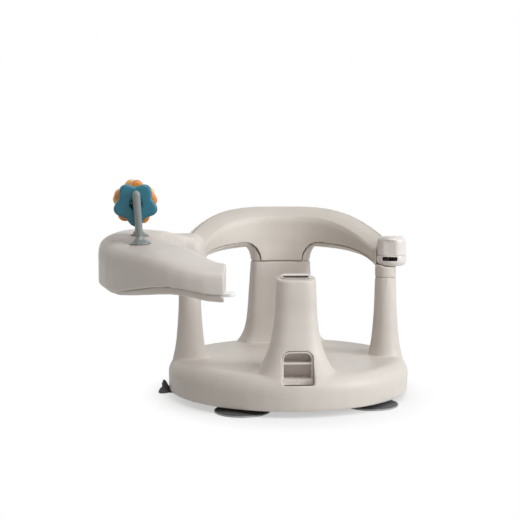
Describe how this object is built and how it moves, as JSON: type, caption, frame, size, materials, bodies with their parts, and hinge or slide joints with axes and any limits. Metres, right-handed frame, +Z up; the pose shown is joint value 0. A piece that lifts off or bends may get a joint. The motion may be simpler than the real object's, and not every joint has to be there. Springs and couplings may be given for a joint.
{
  "type": "baby bath seat",
  "caption": "Round bath seat on suction cups with a curved backrest on posts, a moulded pommel and a swing-open tray that latches shut and carries spinning flower discs.",
  "frame": {"origin": "centre of the base's flat underside; the suction cups reach 8.5 mm below it", "axes": "+Z up, +Y to the backrest, +X to the latch; stored with the tray swung open"},
  "size_m": [0.4203, 0.4835, 0.2934],
  "materials": {
    "shell_plastic": "satin warm grey",
    "liner_plastic": "satin warm grey",
    "tray_plastic": "satin warm grey",
    "cover_plastic": "matt warm grey",
    "trim_plastic": "satin light warm grey",
    "tongue_plastic": "smooth off-white",
    "cup_rubber": "soft matt grey",
    "steel": "plain",
    "dark_steel": "blackened",
    "toy_grey_plastic": "satin blue grey",
    "toy_teal_plastic": "satin",
    "toy_orange_plastic": "satin",
    "toy_yellow_plastic": "satin",
    "toy_red_plastic": "satin"
  },
  "bodies": {
    "frame": {"base_shell": "shell_plastic", "base_underside_cover": "cover_plastic", "suction_cup_1": "cup_rubber", "suction_cup_2": "cup_rubber", "suction_cup_3": "cup_rubber", "suction_cup_4": "cup_rubber", "suction_cup_5": "cup_rubber", "base_screw_1": "steel", "base_screw_2": "steel", "base_screw_3": "steel", "base_screw_4": "steel", "base_screw_5": "steel", "pommel_slot_bezel": "trim_plastic", "pommel_window_frame": "trim_plastic", "backrest_shell": "shell_plastic", "backrest_liner": "liner_plastic", "latch_housing": "trim_plastic", "latch_guide_screw": "dark_steel", "latch_spring": "dark_steel", "hinge_pin": "steel", "hinge_washer": "tongue_plastic"},
    "tray": {"tray_upper_shell": "tray_plastic", "tray_cover": "cover_plastic", "tray_tongue": "tongue_plastic", "tray_screw_1": "steel", "tray_screw_2": "steel", "tray_screw_3": "steel", "tray_screw_4": "steel", "toy_post_left": "toy_grey_plastic", "toy_post_right": "toy_grey_plastic", "toy_nut_left": "steel", "toy_nut_right": "steel", "toy_axle": "dark_steel"},
    "latch_button": {"latch_knob": "trim_plastic", "latch_knob_cap": "trim_plastic"},
    "red_flower": {"toy_flower_red": "toy_red_plastic"},
    "yellow_flower": {"toy_flower_yellow": "toy_yellow_plastic"},
    "orange_flower": {"toy_flower_orange": "toy_orange_plastic"},
    "teal_flower": {"toy_flower_teal": "toy_teal_plastic"}
  },
  "joints": [
    {"name": "tray_swing", "type": "hinge", "parent": "frame", "child": "tray", "pos_m": [-0.135, -0.005, 0.1697], "axis": [-0.0353, -0.0393, 0.9986], "range_deg": [0, 77.7]},
    {"name": "latch_knob_lift", "type": "slide", "parent": "frame", "child": "latch_button", "axis": [0, 0, 1], "range_m": [0, 0.004], "stiffness_N_per_m": 400, "springref_m": -0.004, "deforming": ["latch_spring"]},
    {"name": "red_flower_spin", "type": "hinge", "parent": "tray", "child": "red_flower", "pos_m": [-0.19709, -0.16659, 0.25737], "axis": [-0.0847, 0.9942, 0.066], "continuous": true},
    {"name": "yellow_flower_spin", "type": "hinge", "parent": "tray", "child": "yellow_flower", "pos_m": [-0.19709, -0.16659, 0.25737], "axis": [-0.0847, 0.9942, 0.066], "continuous": true},
    {"name": "orange_flower_spin", "type": "hinge", "parent": "tray", "child": "orange_flower", "pos_m": [-0.19709, -0.16659, 0.25737], "axis": [-0.0847, 0.9942, 0.066], "continuous": true},
    {"name": "teal_flower_spin", "type": "hinge", "parent": "tray", "child": "teal_flower", "pos_m": [-0.19709, -0.16659, 0.25737], "axis": [-0.0847, 0.9942, 0.066], "continuous": true}
  ]
}
